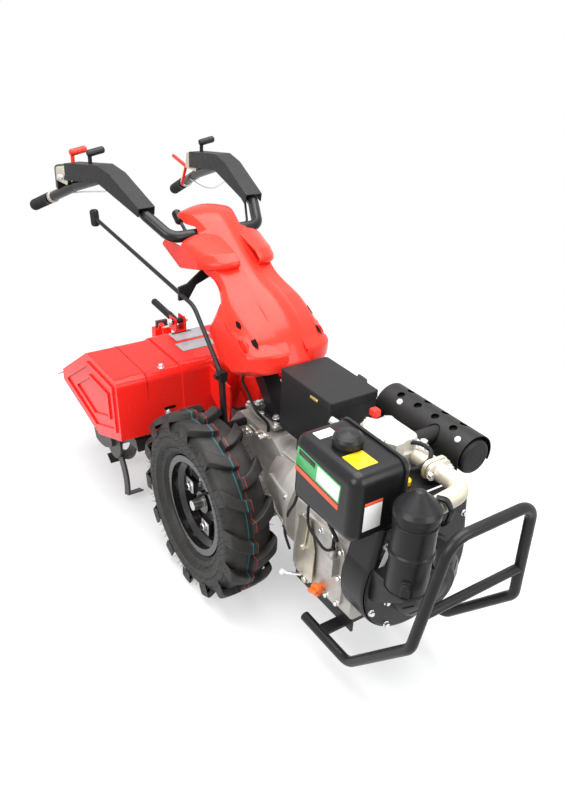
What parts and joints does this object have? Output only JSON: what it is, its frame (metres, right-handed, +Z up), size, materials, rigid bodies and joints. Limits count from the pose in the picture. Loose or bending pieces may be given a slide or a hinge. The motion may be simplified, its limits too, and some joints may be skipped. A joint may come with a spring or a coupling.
{
  "type": "two wheel walking tractor with rear tiller",
  "caption": "Two wheel walking tractor: diesel engine and front guard ahead of the axle, cowled column with twin handles, rear rotary tiller under a red hood.",
  "frame": {"origin": "centre of the bounding box in X and Y, on the ground", "axes": "+X forward towards the engine and guard, +Y to the machine's left, +Z up"},
  "size_m": [1.907, 0.696, 1.0513],
  "materials": {
    "black_plastic": "satin",
    "black_steel": "satin",
    "cast_grey": "cast",
    "cast_iron_grey": "painted",
    "grip_rubber": "matte",
    "orange_plastic": "satin",
    "red_plastic": "gloss",
    "red_steel": "gloss",
    "rim_black": "gloss",
    "shaft_steel": "satin",
    "tine_steel": "dark",
    "tyre": "matte",
    "zinc": "zinc plated"
  },
  "bodies": {
    "chassis": {"air_cleaner": "black_plastic", "battery_box": "black_plastic", "battery_stand": "black_steel", "column": "black_steel", "control_cables": "grip_rubber", "cowl": "red_plastic", "cylinder": "cast_grey", "cylinder_head": "cast_grey", "decompression_lever": "red_plastic", "depth_lever": "black_steel", "depth_stand": "red_steel", "engine_bed": "black_steel", "engine_block": "cast_grey", "fan_housing": "black_steel", "front_guard": "black_steel", "fuel_cap": "black_plastic", "fuel_hose": "grip_rubber", "fuel_tank": "black_steel", "gearbox": "cast_grey", "governor_plate": "zinc", "guard_crossbar": "black_steel", "heat_shield": "black_steel", "injection_pump": "cast_grey", "intake_elbow": "cast_grey", "lever_grip": "black_plastic", "lever_knobs": "black_plastic", "muffler": "black_steel", "oil_filler": "orange_plastic", "recoil_starter": "black_plastic", "shift_rod": "black_steel", "skid": "tine_steel", "speed_lever": "black_steel", "starter_motor": "black_steel", "tank_bracket": "black_steel", "tiller_case": "cast_iron_grey", "tiller_hood": "red_steel", "tiller_wing_left": "red_steel", "tiller_wing_right": "red_steel"},
    "wheel_right": {"axle_shaft_right": "shaft_steel", "rim_right": "rim_black", "tyre_right": "tyre", "wheel_hub_right": "rim_black"},
    "wheel_left": {"axle_shaft_left": "shaft_steel", "rim_left": "rim_black", "tyre_left": "tyre", "wheel_hub_left": "rim_black"},
    "handlebar": {"arm_cover_left": "black_plastic", "arm_cover_right": "black_plastic", "arm_knob_red": "red_plastic", "arm_knobs": "black_plastic", "bar_cables": "grip_rubber", "bar_clutch_lever": "red_plastic", "grip_left": "grip_rubber", "grip_right": "grip_rubber", "handlebar": "black_steel"},
    "rotor": {"tine_rotor": "tine_steel"},
    "flap": {"flap": "red_steel"}
  },
  "joints": [
    {"name": "wheel_right_spin", "type": "hinge", "parent": "chassis", "child": "wheel_right", "pos_m": [0.18396, -0.225, 0.26], "axis": [0, 1, 0], "continuous": true},
    {"name": "wheel_left_spin", "type": "hinge", "parent": "chassis", "child": "wheel_left", "pos_m": [0.18396, 0.225, 0.26], "axis": [0, 1, 0], "continuous": true},
    {"name": "rotor_spin", "type": "hinge", "parent": "chassis", "child": "rotor", "pos_m": [-0.32104, 0, 0.2], "axis": [0, 1, 0], "continuous": true},
    {"name": "handlebar_height", "type": "hinge", "parent": "chassis", "child": "handlebar", "pos_m": [-0.16604, 0, 0.882], "axis": [0, 1, 0], "range_deg": [-10, 10]},
    {"name": "flap_hinge", "type": "hinge", "parent": "chassis", "child": "flap", "pos_m": [-0.58404, 0, 0.338], "axis": [0, 1, 0], "range_deg": [-55, 45]}
  ]
}
